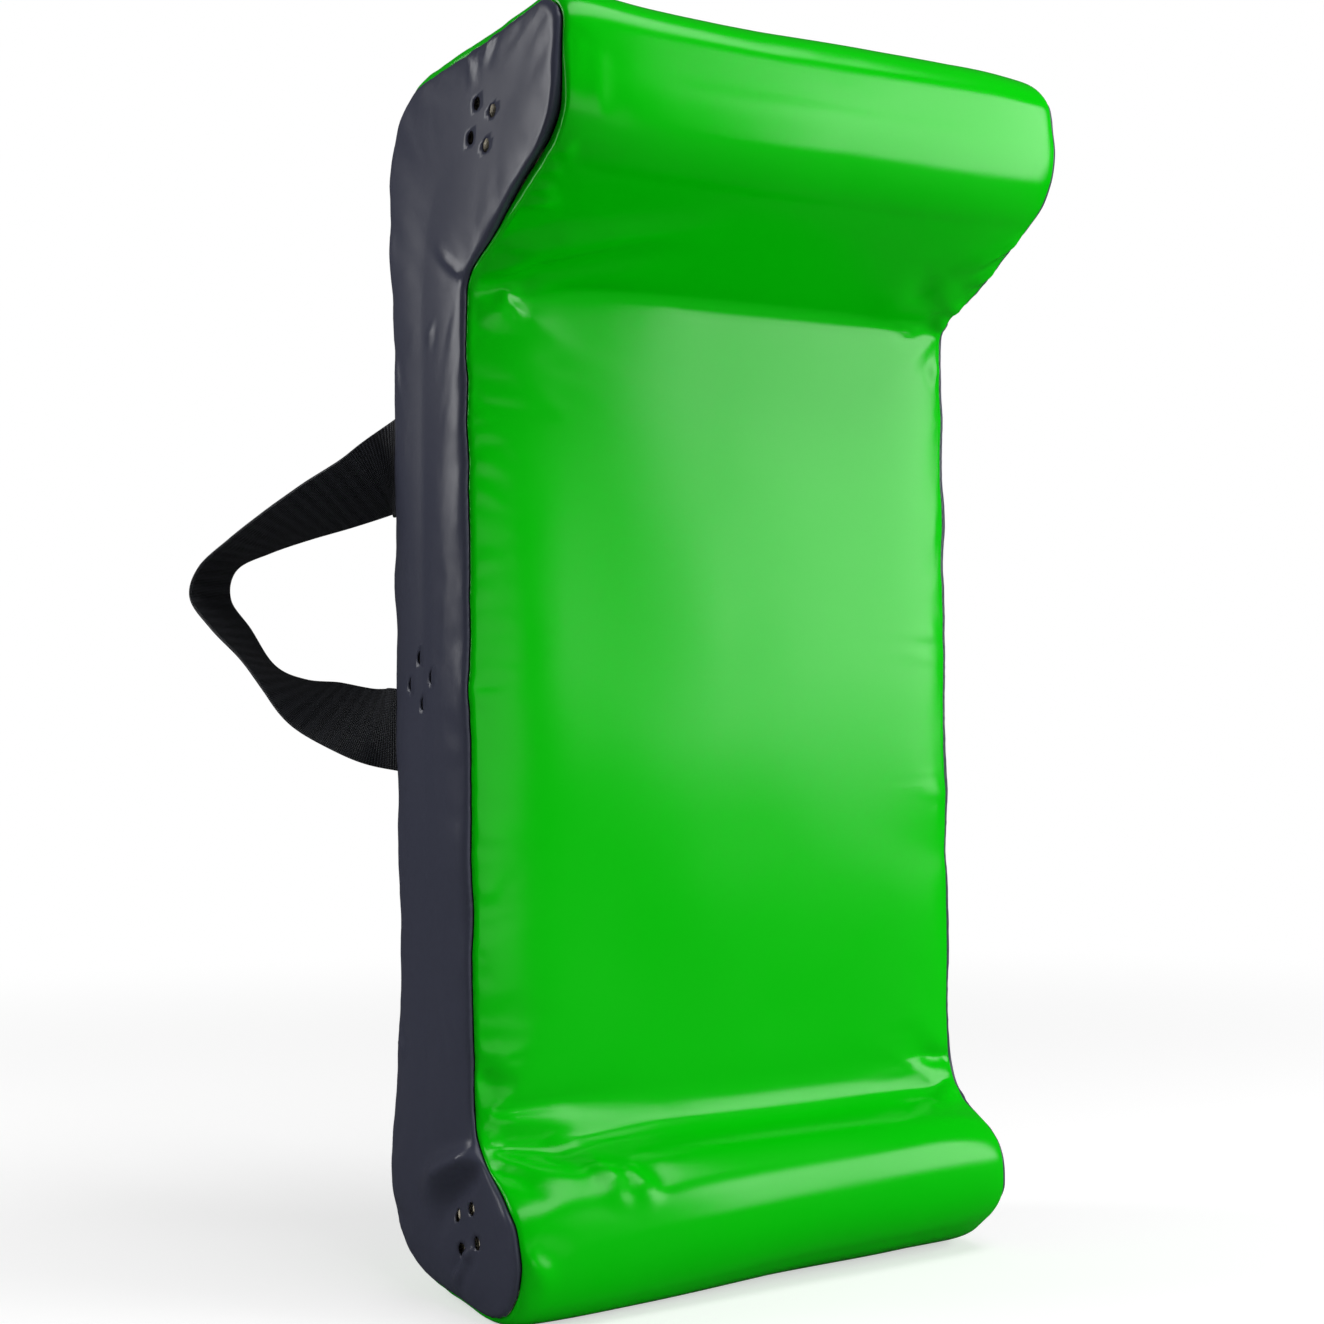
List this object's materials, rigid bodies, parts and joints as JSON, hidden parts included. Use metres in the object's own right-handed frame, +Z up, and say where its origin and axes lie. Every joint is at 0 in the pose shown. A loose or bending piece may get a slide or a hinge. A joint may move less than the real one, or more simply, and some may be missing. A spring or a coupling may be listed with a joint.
{
  "type": "tackle wedge",
  "caption": "Foam tackle wedge with a deep top nose and a smaller base nose, in a vented PVC cover with a back zip and two webbing handles.",
  "frame": {"origin": "in the middle of the flat foot that the wedge stands on, midway between the side seams", "axes": "+X to the right seen from the front, +Y towards the back, +Z up; the hollow front faces -Y"},
  "size_m": [0.5642, 0.3382, 0.7612],
  "materials": {
    "green_cover": "glossy coated fabric",
    "slate_cover": "satin coated fabric",
    "foam": "open cell foam",
    "webbing": "woven",
    "zip_tape": "woven",
    "zip_chain": "moulded",
    "zip_metal": "dull nickel"
  },
  "bodies": {
    "wedge": {"foam_slab": "foam", "foam_top_bolster": "foam", "foam_base_bolster": "foam", "cover_front": "green_cover", "cover_side_left": "slate_cover", "cover_side_right": "slate_cover", "cover_back": "slate_cover", "zip_tape_left": "zip_tape", "zip_tape_right": "zip_tape", "zip_teeth_left": "zip_chain", "zip_teeth_right": "zip_chain", "zip_stop_base": "zip_chain", "zip_stop_top": "zip_chain"},
    "left_loop": {"handle_left": "webbing"},
    "right_loop": {"handle_right": "webbing"},
    "slider": {"zip_slider": "zip_metal"},
    "pull": {"zip_pull": "zip_metal"}
  },
  "joints": [
    {"name": "left_handle_swing", "type": "hinge", "parent": "wedge", "child": "left_loop", "pos_m": [-0.18017, 0.07402, 0.42425], "axis": [0, 0, 1], "range_deg": [-50, 80], "stiffness_Nm_per_rad": 0.05},
    {"name": "right_handle_swing", "type": "hinge", "parent": "wedge", "child": "right_loop", "pos_m": [0.18017, 0.07402, 0.42425], "axis": [0, 0, -1], "range_deg": [-50, 80], "stiffness_Nm_per_rad": 0.05},
    {"name": "zip_slide", "type": "slide", "parent": "wedge", "child": "slider", "axis": [0, 0, 1], "range_m": [0, 0.453]},
    {"name": "pull_flip", "type": "hinge", "parent": "slider", "child": "pull", "pos_m": [0, 0.08256, 0.19306], "axis": [1, 0, 0], "range_deg": [0, 160]}
  ]
}
